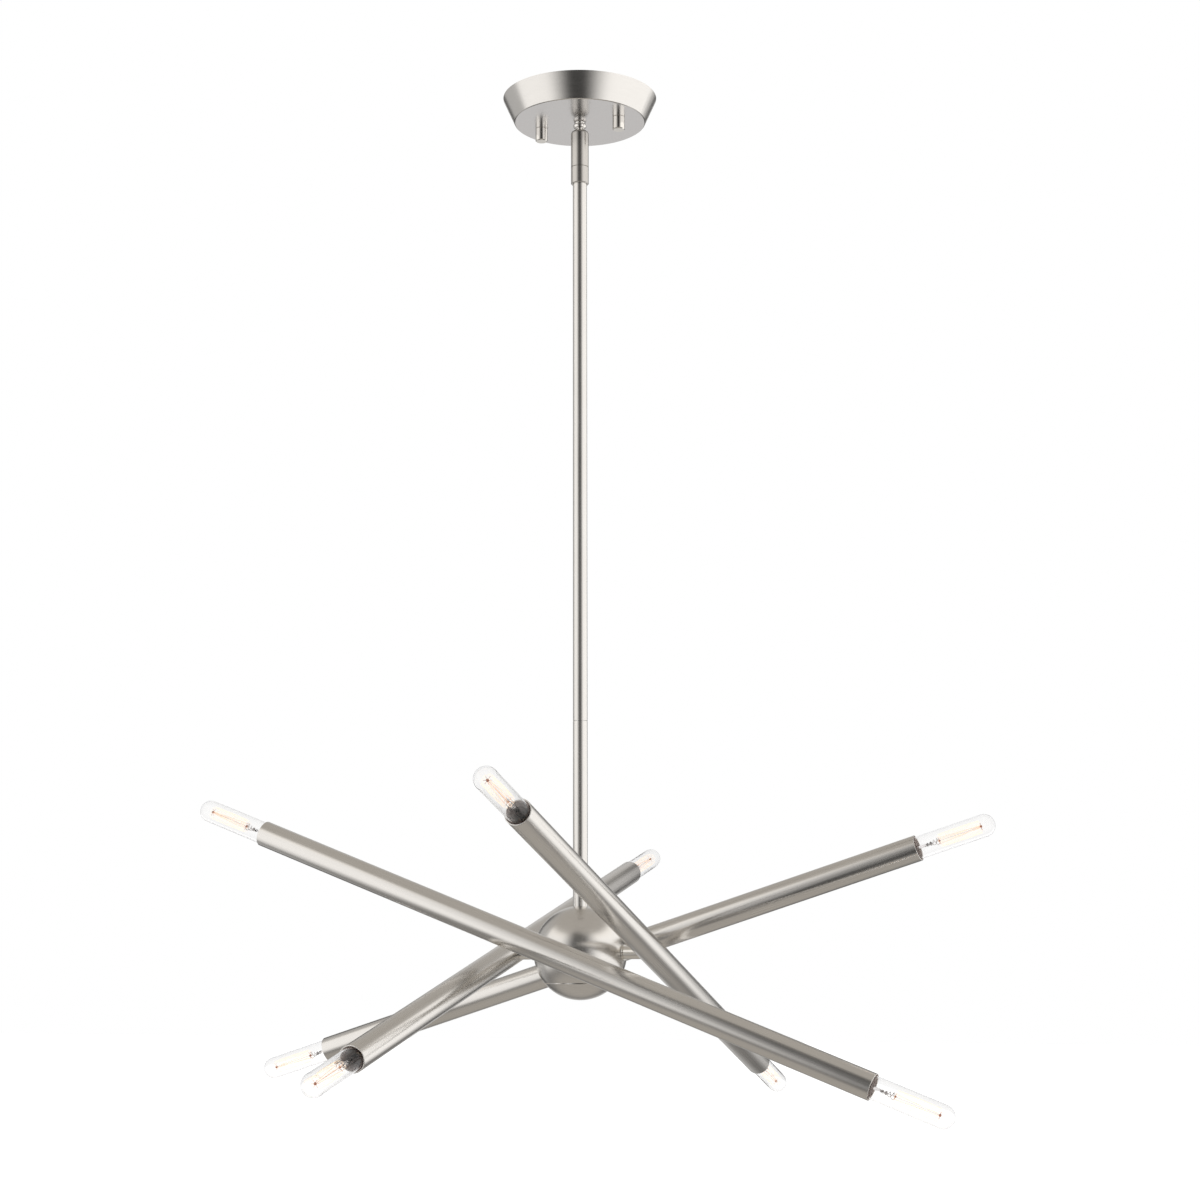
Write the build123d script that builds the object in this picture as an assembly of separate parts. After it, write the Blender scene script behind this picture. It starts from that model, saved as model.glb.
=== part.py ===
from build123d import *
from math import asin, cos, degrees, radians, sin, sqrt, tan
import os

# Sputnik chandelier: four crossed tubes with a tubular bulb in each end, turning on
# posts round a hub ball that hangs from a ceiling canopy on a swivel and two rods.
# Millimetres, +Z up, origin at the centre of the ceiling plane. The object hangs to -Z.

# ---------------------------------------------------------------- overall sizes
HUB_DROP = 767.8  # ceiling plane to the centre of the hub ball
HUB_DIAMETER = 80.0
TUBE_LENGTH = 588.6
TUBE_OFFSET = 66.4  # centre of the hub ball to each tube's axis
ARMS = {  # name: (direction of the post about +Z, rest tilt with the left end up), degrees
    "front": (270, 20.9),
    "right": (0, 20.2),
    "back": (90, 17.1),
    "left": (180, 15.8),
}

# ---------------------------------------------------------------- canopy and bracket
CANOPY_TOP_DIAMETER = 139.0
CANOPY_FACE_DIAMETER = 118.5
CANOPY_HEIGHT = 22.7
CANOPY_SHEET = 1.2
CANOPY_EDGE_CHAMFER = 0.6
STUD_SPACING = 76.0
STUD_DIAMETER = 4.2
STUD_HOLE_CLEARANCE = 0.2
STUD_END_GAP = 0.5  # stud end to the bottom of the cap nut's bore
STUD_NUT_FLATS = 8.0
STUD_NUT_HEIGHT = 3.2
CAP_NUT_DIAMETER = 11.0
CAP_NUT_LENGTH = 12.0
CAP_NUT_CHAMFER = 0.8
CAP_NUT_TOP_CHAMFER = 0.4
CAP_NUT_BORE_DEPTH = 9.0
STRAP_THICKNESS = 1.6
STRAP_WIDTH = 16.0
STRAP_END_MARGIN = 8.0  # from a hole or slot centre to the strap's rounded end
STRAP_BOSS_DIAMETER = 8.0
STRAP_BOSS_HEIGHT = 1.4
BOX_SLOT_SPACING = 79.4
BOX_SLOT_LENGTH = 14.0
BOX_SLOT_WIDTH = 4.4
WIRE_HOLE_DIAMETER = 12.0
GROUND_SCREW_DIAMETER = 4.0
GROUND_SCREW_FLATS = 7.0
GROUND_SCREW_HEAD_HEIGHT = 2.6
GROUND_SCREW_AT = (19.0, 0.0)  # on the strap's stud arm

# ---------------------------------------------------------------- swivel
NECK_LENGTH = 6.0
NECK_TOP_DIAMETER = 11.9
NECK_BOTTOM_DIAMETER = 11.2
NECK_CLEARANCE = 0.345  # dome to the neck's underside at full tilt
NIPPLE_DIAMETER = 9.8
NIPPLE_HOLE_CLEARANCE = 0.2
NIPPLE_END_MARGIN = 1.5  # nipple past its nut
SWIVEL_WIRE_BORE = 3.4
SWIVEL_BALL_DIAMETER = 12.0
SWIVEL_WAIST_DIAMETER = 5.2
SWIVEL_BALL_FLAT = 3.0  # below the centre of the swivel ball
SWIVEL_CLEARANCE = 0.05  # ball to its conical seat
SWIVEL_TILT = 15.0  # either side, degrees
LOCK_WASHER_DIAMETER = 16.0
LOCK_WASHER_THICKNESS = 1.0
LOCK_NUT_FLATS = 14.0
LOCK_NUT_HEIGHT = 3.2
SOCKET_WALL = 1.7
SOCKET_BALL_ROOM = 0.3  # radial, round the ball's equator
SOCKET_DOME_THICKNESS = 1.0  # above the top of the ball
SOCKET_SHOULDER_RADIUS = 3.9
SOCKET_DROP = 27.8  # centre of the swivel ball to the socket's lower edge
DOME_CLEARANCE = 0.33  # waist to the dome's opening at full tilt
SEAT_ANGLE = 30.0  # the cone meets the ball this far above its equator
SEAT_RING_CLEARANCE = 0.36  # under the edge of the ball's flat at full tilt
SEAT_RING_HEIGHT = 4.5
SEAT_RING_BORE = 8.0

# ---------------------------------------------------------------- stem
TURN_CLEARANCE = 0.05  # coupling spigot in the socket, radial
STEM_TURN = 162.0  # either side, degrees
STOP_MARGIN = 1.0  # degrees left between the screw tip and the land at the limit
SPIGOT_LENGTH = 11.8
GROOVE_ABOVE_EDGE = 4.4
GROOVE_HEIGHT = 2.4
GROOVE_DEPTH = 1.45
STOP_SCREW_DIAMETER = 3.0
STOP_TIP_DIAMETER = 2.0
STOP_TIP_GAP = 0.15
COUPLING_GAP = 0.5
COUPLING_LENGTH = 15.4
COUPLING_WALL = 1.6  # outside the rod's seat
COUPLING_WIRE_BORE = 6.0
COUPLING_LIP = 0.5
ROD_DIAMETER = 12.7
ROD_WALL = 1.2
ROD_SEAT_DEPTH = 7.5
ROD_SEAT_CLEARANCE = 0.05
ROD_NIPPLE_CLEARANCE = 0.05
ROD_NIPPLE_BORE = 7.0
STEM_NIPPLE_LENGTH = 28.0
STEM_NIPPLE_GRIP = 7.2  # length held in the coupling
JOINER_LENGTH = 40.0
LOWER_ROD_LENGTH = 160.7
ROD_JOINT_GAP = 0.4

# ---------------------------------------------------------------- hub ball
HUB_CAP_HEIGHT = 14.6  # seam to the bottom of the ball
HUB_SEAM_GROOVE = 0.9  # open line between the ball's body and its cap
HUB_ROD_SEAT_DEPTH = 1.5  # flat seat for the rod, below the ball's top
HUB_POST_WALL = 15.3  # flat under each post to the flat its nut bears on
HUB_ROOF = 18.0  # top of the ball to the chamber's roof
CHAMBER_FLAT = 20.0  # width of the flat that each post nut bears on
CAP_LAND = 4.4  # width of the ring outside the cap's spigot
CAP_SPIGOT_CLEARANCE = 0.05
CAP_SPIGOT_HEIGHT = 5.0
HUB_NIPPLE_GRIP = 20.0  # length held in the lower rod
HUB_WASHER_DIAMETER = 20.0
HUB_WASHER_THICKNESS = 1.5
HUB_NUT_FLATS = 14.0
HUB_NUT_HEIGHT = 4.0

# ---------------------------------------------------------------- arms
TUBE_DIAMETER = 22.2
TUBE_WALL = 0.9
POST_DIAMETER = 11.1
POST_BORE = 7.0
POST_SEAT_DROP = 0.7  # ball surface to the flat under each post
POST_SEAT_DIAMETER = 14.0
POST_FLANGE_DIAMETER = 13.4
POST_FLANGE_THICKNESS = 1.6
POST_SPIGOT_DIAMETER = 9.9
POST_CLEARANCE = 0.05  # radial in the ball's hole, and axial under flange and nut
POST_NUT_FLATS = 13.0
POST_NUT_HEIGHT = 3.5
POST_END_MARGIN = 0.5  # spigot past its nut
ARM_TILT_LEAST = 12.0  # left end up from level; crossed tubes would meet below this
ARM_TILT_MOST = 60.0

# ---------------------------------------------------------------- sockets and bulbs
BULB_REACH = 68.6  # tube end to the bulb's tip
BULB_DIAMETER = 19.0
GLASS_WALL = 0.8
GLASS_NECK_DIAMETER = 10.4
GLASS_SHOULDER_DEPTH = 20.0  # inside the tube, where the glass reaches full diameter
BASE_RIM_DEPTH = 26.0  # inside the tube
BASE_DIAMETER = 11.7
BASE_LENGTH = 20.0
SHELL_CLEARANCE = 0.1
SHELL_WALL = 0.5
SHELL_SEAT_CLEARANCE = 0.05
LAMP_SOCKET_CLEARANCE = 0.2  # radial in the tube
LAMP_SOCKET_FLOOR = 2.0
LAMP_SOCKET_BELOW_RIM = 1.0  # base rim stands this proud of the socket's face
CAGE_STRANDS = 4
CAGE_RADIUS = 4.8
CAGE_START = 18.0  # past the tube end
CAGE_END = 56.5
STRAND_WIDTH = 0.4
CAGE_ROD_WIDTH = 1.2
MOUNT_BUTTON_AT = 4.0
MOUNT_BUTTON_WIDTH = 4.4
MOUNT_BUTTON_HEIGHT = 3.0
MOUNT_STEM_WIDTH = 3.0

# ---------------------------------------------------------------- worked-out places
HUB_Z = -HUB_DROP
HUB_R = HUB_DIAMETER / 2
SOCKET_BORE = SWIVEL_BALL_DIAMETER + 2 * SOCKET_BALL_ROOM
SOCKET_DIAMETER = SOCKET_BORE + 2 * SOCKET_WALL
SOCKET_DOME_RISE = SWIVEL_BALL_DIAMETER / 2 + SOCKET_DOME_THICKNESS  # above the ball's centre
TILT_SIN, TILT_COS = sin(radians(SWIVEL_TILT)), cos(radians(SWIVEL_TILT))
WAIST_REACH = SWIVEL_WAIST_DIAMETER / 2 / TILT_COS + SOCKET_DOME_RISE * tan(radians(SWIVEL_TILT))
DOME_OPENING = 2 * (WAIST_REACH + DOME_CLEARANCE)
SHOULDER_R = SOCKET_DIAMETER / 2 - SOCKET_SHOULDER_RADIUS
SHOULDER_HEIGHT = SOCKET_DOME_RISE - SOCKET_SHOULDER_RADIUS
TILTED_RISE = SHOULDER_HEIGHT * TILT_COS + SHOULDER_R * TILT_SIN + SOCKET_SHOULDER_RADIUS
SWIVEL_Z = -(CANOPY_HEIGHT + NECK_LENGTH + NECK_CLEARANCE + TILTED_RISE)
BALL_FLAT_R = sqrt((SWIVEL_BALL_DIAMETER / 2) ** 2 - SWIVEL_BALL_FLAT**2)
TILTED_FLAT = SWIVEL_BALL_FLAT * TILT_COS + BALL_FLAT_R * TILT_SIN
SEAT_RING_TOP = TILTED_FLAT + SEAT_RING_CLEARANCE  # below the ball's centre
SOCKET_EDGE_Z = SWIVEL_Z - SOCKET_DROP
COUPLING_TOP_Z = SOCKET_EDGE_Z - COUPLING_GAP
COUPLING_EDGE_Z = COUPLING_TOP_Z - COUPLING_LENGTH
UPPER_ROD_TOP_Z = COUPLING_EDGE_Z + ROD_SEAT_DEPTH
ROD_SEAT_Z = HUB_Z + HUB_R - HUB_ROD_SEAT_DEPTH
LOWER_ROD_TOP_Z = ROD_SEAT_Z + LOWER_ROD_LENGTH
UPPER_ROD_EDGE_Z = LOWER_ROD_TOP_Z + ROD_JOINT_GAP
ROD_BORE = ROD_DIAMETER - 2 * ROD_WALL
ROD_NIPPLE_DIAMETER = ROD_BORE - 2 * ROD_NIPPLE_CLEARANCE
ROD_SEAT_DIAMETER = ROD_DIAMETER + 2 * ROD_SEAT_CLEARANCE
COUPLING_DIAMETER = ROD_SEAT_DIAMETER + 2 * COUPLING_WALL
POST_SEAT = HUB_R - POST_SEAT_DROP
POST_FLANGE_INNER = POST_SEAT + POST_CLEARANCE
CHAMBER_WIDTH = 2 * (POST_SEAT - HUB_POST_WALL)
CHAMBER_CORNER_RADIUS = (CHAMBER_WIDTH - CHAMBER_FLAT) / 2
POST_NUT_OUTER = CHAMBER_WIDTH / 2 - POST_CLEARANCE
POST_SPIGOT_END = POST_NUT_OUTER - POST_NUT_HEIGHT - POST_END_MARGIN
HUB_WIDE = 3 * HUB_DIAMETER  # larger than anything at the hub
HUB_SEAM_DROP = HUB_R - HUB_CAP_HEIGHT
HUB_SEAM_R = sqrt(HUB_R**2 - HUB_SEAM_DROP**2)
CAP_SPIGOT_DIAMETER = 2 * (HUB_SEAM_R - CAP_LAND)
CHAMBER_ROOF = HUB_R - HUB_ROOF
CANOPY_FLOOR_Z = CANOPY_SHEET - CANOPY_HEIGHT
LOCK_NUT_Z = CANOPY_FLOOR_Z + LOCK_WASHER_THICKNESS
LOCK_NUT_TOP_Z = LOCK_NUT_Z + LOCK_NUT_HEIGHT
SPIGOT_TOP_Z = SOCKET_EDGE_Z + SPIGOT_LENGTH
GROOVE_MIDDLE_Z = SOCKET_EDGE_Z + GROOVE_ABOVE_EDGE + GROOVE_HEIGHT / 2
GROOVE_FLOOR_R = SOCKET_BORE / 2 - TURN_CLEARANCE - GROOVE_DEPTH
CHAMBER_ROOF_Z = HUB_Z + CHAMBER_ROOF
HUB_WASHER_Z = CHAMBER_ROOF_Z - HUB_WASHER_THICKNESS
HUB_NUT_Z = HUB_WASHER_Z - HUB_NUT_HEIGHT
LAMP_SOCKET_DIAMETER = TUBE_DIAMETER - 2 * (TUBE_WALL + LAMP_SOCKET_CLEARANCE)
SHELL_OUTER = BASE_DIAMETER + 2 * (SHELL_CLEARANCE + SHELL_WALL)
SHELL_FLOOR_Z = -BASE_RIM_DEPTH - BASE_LENGTH - SHELL_WALL  # height 0 is the tube's end


# ---------------------------------------------------------------- shape helpers
def ring(outer, inner, low, high):
    """A round tube about Z between two heights; an inner size of 0 leaves it solid."""
    outline = Circle(outer / 2)
    if inner:
        outline -= Circle(inner / 2)
    return Pos(0, 0, low) * extrude(outline, high - low)


def hexagon(flats, bore, low, high):
    """A nut about Z between two heights, with a round bore; a bore of 0 leaves it solid."""
    outline = RegularPolygon(flats / 2, 6, major_radius=False)
    if bore:
        outline -= Circle(bore / 2)
    return Pos(0, 0, low) * extrude(outline, high - low)


def turned(*corners):
    """A solid of revolution about Z from the (radius, height) corners of its section."""
    return revolve(Plane.XZ * make_face(Polyline(*corners, close=True)), Axis.Z)


def round_ended(length, width, thickness):
    """A flat bar along X with round ends, its top at height 0."""
    return Pos(0, 0, -thickness) * extrude(SlotOverall(length, width), thickness)


def either_side(solid, spacing):
    """Two copies of a solid, half the spacing either side of the middle along X."""
    return [Pos(side * spacing / 2, 0, 0) * solid for side in (-1, 1)]


def write(name, solids):
    """Writes a sub-part, one solid or a list of them, to its own file."""
    parts = solids if isinstance(solids, list) else [solids]
    whole = [solid for item in parts for solid in item.solids()]
    shape = whole[0] if len(whole) == 1 else Compound(children=whole)
    export_step(shape, f"parts/{name}.step")


# ---------------------------------------------------------------- canopy and bracket
def canopy():
    """Spun cup, open to the ceiling, with a sloping wall and a flat underside."""
    top_r = CANOPY_TOP_DIAMETER / 2
    face_r = CANOPY_FACE_DIAMETER / 2
    face_z = -CANOPY_HEIGHT
    outside = turned((0, 0), (top_r, 0), (face_r, face_z), (0, face_z))
    lower_edge = outside.edges().filter_by(GeomType.CIRCLE).sort_by(Axis.Z)[0]
    floor_z = face_z + CANOPY_SHEET
    inside = turned(
        (0, 0), (top_r - CANOPY_SHEET, 0), (face_r - CANOPY_SHEET, floor_z), (0, floor_z)
    )
    cup = chamfer(lower_edge, CANOPY_EDGE_CHAMFER) - inside
    cup -= ring(NIPPLE_DIAMETER + 2 * NIPPLE_HOLE_CLEARANCE, 0, face_z, 0)
    stud_hole = ring(STUD_DIAMETER + 2 * STUD_HOLE_CLEARANCE, 0, face_z, 0)
    return cup - either_side(stud_hole, STUD_SPACING)


def mounting_bracket():
    """Crossed strap: tapped stud holes along X and ceiling box slots along Y."""
    stud_arm = round_ended(STUD_SPACING + 2 * STRAP_END_MARGIN, STRAP_WIDTH, STRAP_THICKNESS)
    slot_reach = BOX_SLOT_SPACING + BOX_SLOT_LENGTH + STRAP_END_MARGIN
    slot_arm = Rot(0, 0, 90) * round_ended(slot_reach, STRAP_WIDTH, STRAP_THICKNESS)
    boss_z = -STRAP_THICKNESS - STRAP_BOSS_HEIGHT
    bracket = stud_arm + slot_arm
    bracket = bracket + either_side(ring(STRAP_BOSS_DIAMETER, 0, boss_z, 0), STUD_SPACING)
    bracket = bracket - either_side(ring(STUD_DIAMETER, 0, boss_z, 0), STUD_SPACING)
    slot = round_ended(BOX_SLOT_LENGTH, BOX_SLOT_WIDTH, STRAP_THICKNESS)
    for one_slot in either_side(slot, BOX_SLOT_SPACING):
        bracket -= Rot(0, 0, 90) * one_slot
    bracket -= ring(WIRE_HOLE_DIAMETER, 0, -STRAP_THICKNESS, 0)
    return bracket - Pos(*GROUND_SCREW_AT) * ring(GROUND_SCREW_DIAMETER, 0, -STRAP_THICKNESS, 0)


def canopy_studs():
    """Threaded studs, flush with the bracket's top, that carry the canopy."""
    reach = CANOPY_HEIGHT + CAP_NUT_BORE_DEPTH - STUD_END_GAP
    return either_side(ring(STUD_DIAMETER, 0, -reach, 0), STUD_SPACING)


def stud_lock_nuts():
    """Hex nuts that lock the studs under the bracket's bosses."""
    top = -STRAP_THICKNESS - STRAP_BOSS_HEIGHT
    nut = hexagon(STUD_NUT_FLATS, STUD_DIAMETER, top - STUD_NUT_HEIGHT, top)
    return either_side(nut, STUD_SPACING)


def canopy_cap_nuts():
    """Plain round cap nuts that hold the canopy up on its studs."""
    r = CAP_NUT_DIAMETER / 2
    bore_r = STUD_DIAMETER / 2
    top = -CANOPY_HEIGHT
    low = top - CAP_NUT_LENGTH
    nut = turned(
        (bore_r, top),
        (r - CAP_NUT_TOP_CHAMFER, top),
        (r, top - CAP_NUT_TOP_CHAMFER),
        (r, low + CAP_NUT_CHAMFER),
        (r - CAP_NUT_CHAMFER, low),
        (0, low),
        (0, top - CAP_NUT_BORE_DEPTH),
        (bore_r, top - CAP_NUT_BORE_DEPTH),
    )
    return either_side(nut, STUD_SPACING)


def ground_screw():
    """Hex-headed screw under the bracket for the bare ground wire."""
    under = -STRAP_THICKNESS
    head = hexagon(GROUND_SCREW_FLATS, 0, under - GROUND_SCREW_HEAD_HEIGHT, under)
    return Pos(*GROUND_SCREW_AT) * (head + ring(GROUND_SCREW_DIAMETER, 0, under, 0))


# ---------------------------------------------------------------- swivel
def swivel_neck():
    """Tapered collar under the canopy with a threaded nipple up through it."""
    top = -CANOPY_HEIGHT
    low = top - NECK_LENGTH
    nipple_r = NIPPLE_DIAMETER / 2
    bore_r = SWIVEL_WAIST_DIAMETER / 2
    return turned(
        (bore_r, low),
        (NECK_BOTTOM_DIAMETER / 2, low),
        (NECK_TOP_DIAMETER / 2, top),
        (nipple_r, top),
        (nipple_r, LOCK_NUT_TOP_Z + NIPPLE_END_MARGIN),
        (bore_r, LOCK_NUT_TOP_Z + NIPPLE_END_MARGIN),
    )


def swivel_ball_stud():
    """Hollow ball on a waist that screws up into the neck."""
    ball = Pos(0, 0, SWIVEL_Z) * Sphere(SWIVEL_BALL_DIAMETER / 2)
    flat_z = SWIVEL_Z - SWIVEL_BALL_FLAT
    ball -= ring(SWIVEL_BALL_DIAMETER, 0, flat_z - SWIVEL_BALL_DIAMETER, flat_z)
    stud = ball + ring(SWIVEL_WAIST_DIAMETER, 0, SWIVEL_Z, -CANOPY_HEIGHT)
    return stud - ring(SWIVEL_WIRE_BORE, 0, flat_z, 0)


def canopy_lock_washer():
    """Washer inside the canopy, round the neck's nipple."""
    return ring(LOCK_WASHER_DIAMETER, NIPPLE_DIAMETER, CANOPY_FLOOR_Z, LOCK_NUT_Z)


def canopy_lock_nut():
    """Nut that clamps the neck's nipple to the canopy."""
    return hexagon(LOCK_NUT_FLATS, NIPPLE_DIAMETER, LOCK_NUT_Z, LOCK_NUT_TOP_Z)


def seat_height(radius):
    """Height above the ball's centre of the conical seat that its upper half bears on."""
    reach = SWIVEL_BALL_DIAMETER / 2 + SWIVEL_CLEARANCE
    return (reach - radius * cos(radians(SEAT_ANGLE))) / sin(radians(SEAT_ANGLE))


def swivel_socket():
    """Domed sleeve that hangs on the swivel ball and takes the stem's spigot."""
    r = SOCKET_DIAMETER / 2
    bend = SOCKET_SHOULDER_RADIUS
    crown = SOCKET_DOME_RISE
    side = Line((r, -SOCKET_DROP), (r, crown - bend))
    shoulder = RadiusArc((r, crown - bend), (SHOULDER_R, crown), -bend)
    rest = Polyline((SHOULDER_R, crown), (0, crown), (0, -SOCKET_DROP), (r, -SOCKET_DROP))
    sleeve = revolve(Plane.XZ * make_face(side + shoulder + rest), Axis.Z)
    bore_r = SOCKET_BORE / 2
    opening_r = DOME_OPENING / 2
    sleeve -= turned(
        (0, -SOCKET_DROP),
        (bore_r, -SOCKET_DROP),
        (bore_r, seat_height(bore_r)),
        (opening_r, seat_height(opening_r)),
        (opening_r, crown),
        (0, crown),
    )
    screw_hole = Pos(0, r / 2, 0) * Rot(-90, 0, 0) * ring(STOP_SCREW_DIAMETER, 0, 0, r)
    return Pos(0, 0, SWIVEL_Z) * sleeve - Pos(0, 0, GROOVE_MIDDLE_Z) * screw_hole


def swivel_seat_ring():
    """Threaded ring under the ball that keeps it in its seat."""
    top = SWIVEL_Z - SEAT_RING_TOP
    outer = SOCKET_BORE - 2 * TURN_CLEARANCE
    return ring(outer, SEAT_RING_BORE, top - SEAT_RING_HEIGHT, top)


def stem_stop_screw():
    """Set screw at the back of the socket whose tip runs in the spigot's groove."""
    tip_r = STOP_TIP_DIAMETER / 2
    body_r = STOP_SCREW_DIAMETER / 2
    body_start = sqrt((SOCKET_BORE / 2) ** 2 + body_r**2)
    tip_start = GROOVE_FLOOR_R + STOP_TIP_GAP
    body_end = sqrt((SOCKET_DIAMETER / 2) ** 2 - body_r**2)
    screw = turned(
        (0, tip_start), (tip_r, tip_start), (tip_r, body_start), (body_r, body_start),
        (body_r, body_end), (0, body_end),
    )
    return Pos(0, 0, GROOVE_MIDDLE_Z) * Rot(-90, 0, 0) * screw


# ---------------------------------------------------------------- stem
def stem_coupling():
    """Turned coupling whose spigot turns in the socket and whose foot takes the rod."""
    r = COUPLING_DIAMETER / 2
    spigot_r = SOCKET_BORE / 2 - TURN_CLEARANCE
    bore_r = COUPLING_WIRE_BORE / 2
    seat_r = ROD_SEAT_DIAMETER / 2
    body = turned(
        (bore_r, SPIGOT_TOP_Z),
        (spigot_r, SPIGOT_TOP_Z),
        (spigot_r, COUPLING_TOP_Z),
        (r, COUPLING_TOP_Z),
        (r, COUPLING_EDGE_Z + COUPLING_LIP),
        (r - COUPLING_LIP, COUPLING_EDGE_Z),
        (seat_r, COUPLING_EDGE_Z),
        (seat_r, UPPER_ROD_TOP_Z),
        (bore_r, UPPER_ROD_TOP_Z),
    )
    nipple_top = UPPER_ROD_TOP_Z + STEM_NIPPLE_GRIP
    body -= ring(ROD_NIPPLE_DIAMETER, 0, UPPER_ROD_TOP_Z, nipple_top)
    groove_low = GROOVE_MIDDLE_Z - GROOVE_HEIGHT / 2
    groove = ring(SOCKET_BORE, 2 * GROOVE_FLOOR_R, groove_low, groove_low + GROOVE_HEIGHT)
    tip_end = GROOVE_FLOOR_R + STOP_TIP_GAP
    tip_angle = degrees(asin(STOP_TIP_DIAMETER / 2 / tip_end))
    land_angle = 180 - STEM_TURN - STOP_MARGIN - tip_angle
    land_width = 2 * tip_end * sin(radians(land_angle))
    land = Pos(0, -SOCKET_BORE / 2, groove_low) * Box(
        land_width, SOCKET_BORE, GROOVE_HEIGHT, align=(Align.CENTER, Align.CENTER, Align.MIN)
    )
    return body - (groove - land)


def stem_nipple():
    """Hollow threaded nipple that joins the coupling to the upper rod."""
    top = UPPER_ROD_TOP_Z + STEM_NIPPLE_GRIP
    return ring(ROD_NIPPLE_DIAMETER, ROD_NIPPLE_BORE, top - STEM_NIPPLE_LENGTH, top)


def upper_rod():
    """Long tube from the coupling to the rod joint."""
    return ring(ROD_DIAMETER, ROD_BORE, UPPER_ROD_EDGE_Z, UPPER_ROD_TOP_Z)


def rod_joiner():
    """Hollow threaded nipple inside both rods at their joint."""
    low = LOWER_ROD_TOP_Z - JOINER_LENGTH / 2
    return ring(ROD_NIPPLE_DIAMETER, ROD_NIPPLE_BORE, low, low + JOINER_LENGTH)


def lower_rod():
    """Short tube from the rod joint to its flat seat on the hub ball."""
    return ring(ROD_DIAMETER, ROD_BORE, ROD_SEAT_Z, LOWER_ROD_TOP_Z)


# ---------------------------------------------------------------- hub ball
def hub_nipple():
    """Hollow threaded nipple from the lower rod down through the ball's roof."""
    low = HUB_NUT_Z - NIPPLE_END_MARGIN
    return ring(ROD_NIPPLE_DIAMETER, ROD_NIPPLE_BORE, low, ROD_SEAT_Z + HUB_NIPPLE_GRIP)


def hub_washer():
    """Washer under the chamber's roof."""
    return ring(HUB_WASHER_DIAMETER, ROD_NIPPLE_DIAMETER, HUB_WASHER_Z, CHAMBER_ROOF_Z)


def hub_nut():
    """Nut that draws the ball up against the lower rod."""
    return hexagon(HUB_NUT_FLATS, ROD_NIPPLE_DIAMETER, HUB_NUT_Z, HUB_WASHER_Z)


def hub_body():
    """Cast ball, cored square so that the post nuts seat flat, open at its seam."""
    below_seam = Pos(0, 0, -HUB_SEAM_DROP) * Box(
        HUB_WIDE, HUB_WIDE, HUB_WIDE, align=(Align.CENTER, Align.CENTER, Align.MAX)
    )
    ball = Sphere(HUB_R) - below_seam
    core = extrude(
        RectangleRounded(CHAMBER_WIDTH, CHAMBER_WIDTH, CHAMBER_CORNER_RADIUS),
        CHAMBER_ROOF + HUB_SEAM_DROP - CAP_SPIGOT_HEIGHT,
    )
    ball -= Pos(0, 0, CAP_SPIGOT_HEIGHT - HUB_SEAM_DROP) * core
    mouth = CAP_SPIGOT_DIAMETER + 2 * CAP_SPIGOT_CLEARANCE
    ball -= ring(mouth, 0, -HUB_SEAM_DROP, CAP_SPIGOT_HEIGHT - HUB_SEAM_DROP)
    ball -= ring(ROD_SEAT_DIAMETER, 0, HUB_R - HUB_ROD_SEAT_DEPTH, HUB_R)
    ball -= ring(ROD_BORE, 0, 0, HUB_R)
    post_hole = ring(POST_SPIGOT_DIAMETER + 2 * POST_CLEARANCE, 0, 0, HUB_R)
    post_seat = ring(POST_SEAT_DIAMETER, 0, POST_SEAT, HUB_R)
    for azimuth, _ in ARMS.values():
        outward = Rot(0, 0, azimuth) * Rot(0, 90, 0)
        ball = ball - outward * post_hole - outward * post_seat
    return Pos(0, 0, HUB_Z) * ball


def hub_cap():
    """Bottom of the ball, with a spigot that screws into the body's mouth."""
    above_groove = Pos(0, 0, -HUB_SEAM_DROP - HUB_SEAM_GROOVE) * Box(
        HUB_WIDE, HUB_WIDE, HUB_WIDE, align=(Align.CENTER, Align.CENTER, Align.MIN)
    )
    cap = Sphere(HUB_R) - above_groove
    spigot_top = CAP_SPIGOT_HEIGHT - HUB_SEAM_DROP
    cap += ring(CAP_SPIGOT_DIAMETER, 0, -HUB_SEAM_DROP - HUB_SEAM_GROOVE, spigot_top)
    return Pos(0, 0, HUB_Z) * cap


# ---------------------------------------------------------------- arms
# Each arm is built with its post along +X and its tube along Y, then tilted and turned.
def post():
    """Hollow post, coped to the tube, with a flange and a spigot through the ball."""
    shaft = ring(POST_DIAMETER, 0, POST_FLANGE_INNER, TUBE_OFFSET)
    shaft += ring(POST_FLANGE_DIAMETER, 0, POST_FLANGE_INNER, POST_FLANGE_INNER + POST_FLANGE_THICKNESS)
    shaft += ring(POST_SPIGOT_DIAMETER, 0, POST_SPIGOT_END, POST_FLANGE_INNER)
    shaft -= ring(POST_BORE, 0, POST_SPIGOT_END, TUBE_OFFSET)
    return Rot(0, 90, 0) * shaft - tube_rod(TUBE_DIAMETER)


def tube_rod(diameter):
    """A solid bar on the tube's axis, as long as the tube."""
    bar = ring(diameter, 0, -TUBE_LENGTH / 2, TUBE_LENGTH / 2)
    return Pos(TUBE_OFFSET, 0, 0) * Rot(90, 0, 0) * bar


def tube():
    """Straight tube with open ends and a wire hole over the post's bore."""
    wire_hole = Rot(0, 90, 0) * ring(POST_BORE, 0, 0, TUBE_OFFSET)
    return tube_rod(TUBE_DIAMETER) - tube_rod(TUBE_DIAMETER - 2 * TUBE_WALL) - wire_hole


def post_nut():
    """Nut with a friction insert that sets how stiffly the arm turns."""
    return Rot(0, 90, 0) * hexagon(
        POST_NUT_FLATS, POST_SPIGOT_DIAMETER, POST_NUT_OUTER - POST_NUT_HEIGHT, POST_NUT_OUTER
    )


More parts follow.
